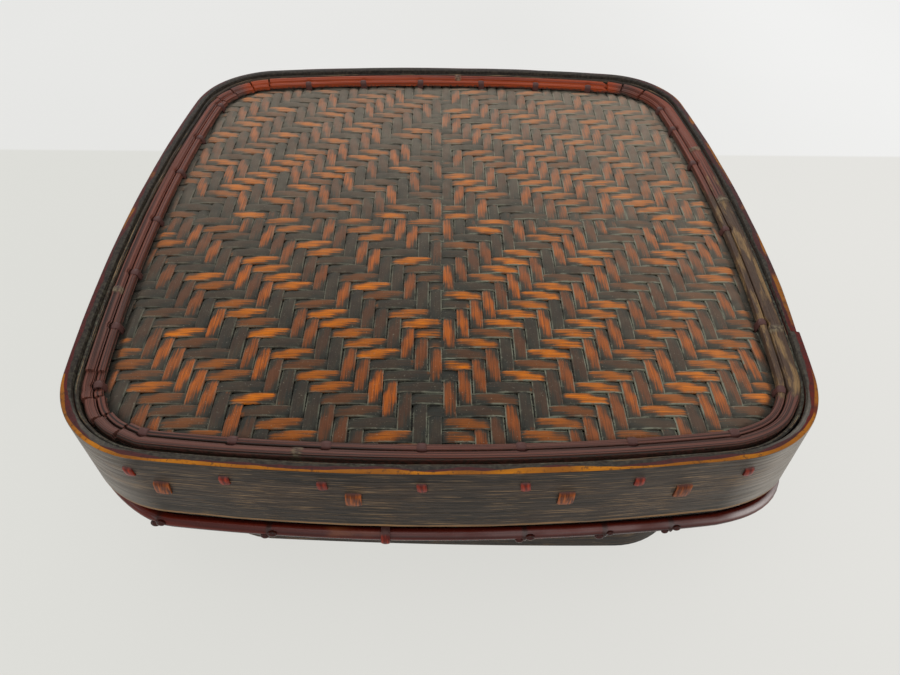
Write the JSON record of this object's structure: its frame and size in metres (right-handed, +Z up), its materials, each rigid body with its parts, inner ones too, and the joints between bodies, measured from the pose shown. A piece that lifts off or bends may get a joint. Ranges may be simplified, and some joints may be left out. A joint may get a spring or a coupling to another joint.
{
  "type": "lidded basket",
  "caption": "Low square rice basket of split bamboo with a lift-off twill-woven lid, deep lid band, bent rim hoops with rattan ties, cane ring round the body and a narrower foot.",
  "frame": {"origin": "on the table under the middle of the basket, at the centre of the bottom of its bounding box", "axes": "+Z up out of the lid, front of the picture towards -Y, +X to the right"},
  "size_m": [0.3036, 0.3038, 0.11],
  "materials": {
    "dark_band": "aged dark lacquer over split bamboo, fine lengthwise grain, worn golden arrises",
    "twill_weave": "stained flat bamboo strips in twill, rubbed orange-brown on the crowns, grey dust in the hollows",
    "plum_hoop": "plum-brown lacquered split bamboo with lengthwise grooves, satin",
    "glossy_cane": "glossy dark red-brown lacquer on a thin whole cane with nodes",
    "rattan": "flat rattan strand, satin, red-brown",
    "plain_bamboo": "unlacquered split bamboo, matt"
  },
  "bodies": {
    "basket": {"culm_ring": "glossy_cane", "floor_batten_back": "plain_bamboo", "floor_batten_front": "plain_bamboo", "foot_hoop": "dark_band", "mouth_hoop": "plum_hoop", "ring_tie_back_1": "rattan", "ring_tie_front_1": "rattan", "ring_tie_left_1": "rattan", "ring_tie_right_1": "rattan", "wall_band": "dark_band", "woven_shell": "twill_weave"},
    "lid": {"hoop_tie_back_1": "rattan", "hoop_tie_back_2": "rattan", "hoop_tie_back_3": "rattan", "hoop_tie_back_4": "rattan", "hoop_tie_back_5": "rattan", "hoop_tie_back_6": "rattan", "hoop_tie_front_1": "rattan", "hoop_tie_front_2": "rattan", "hoop_tie_front_3": "rattan", "hoop_tie_front_4": "rattan", "hoop_tie_front_5": "rattan", "hoop_tie_front_6": "rattan", "hoop_tie_front_7": "rattan", "hoop_tie_left_1": "rattan", "hoop_tie_left_2": "rattan", "hoop_tie_left_3": "rattan", "hoop_tie_left_4": "rattan", "hoop_tie_left_5": "rattan", "hoop_tie_left_6": "rattan", "hoop_tie_left_7": "rattan", "hoop_tie_right_1": "rattan", "hoop_tie_right_2": "rattan", "hoop_tie_right_3": "rattan", "hoop_tie_right_4": "rattan", "hoop_tie_right_5": "rattan", "hoop_tie_right_6": "rattan", "lid_band": "dark_band", "lid_clamp_hoop": "plum_hoop", "lid_cover_hoop": "plum_hoop", "lid_panel": "twill_weave", "lid_skirt_hoop": "plain_bamboo", "skirt_staple_back_1": "rattan", "skirt_staple_back_2": "rattan", "skirt_staple_back_3": "rattan", "skirt_staple_back_4": "rattan", "skirt_staple_front_1": "rattan", "skirt_staple_front_2": "rattan", "skirt_staple_front_3": "rattan", "skirt_staple_front_4": "rattan", "skirt_staple_left_1": "rattan", "skirt_staple_left_2": "rattan", "skirt_staple_left_3": "rattan", "skirt_staple_left_4": "rattan", "skirt_staple_right_1": "rattan", "skirt_staple_right_2": "rattan", "skirt_staple_right_3": "rattan", "skirt_staple_right_4": "rattan"}
  },
  "joints": [
    {"name": "lid_lift", "type": "slide", "parent": "basket", "child": "lid", "axis": [0, 0, 1], "range_m": [0, 0.1]}
  ]
}
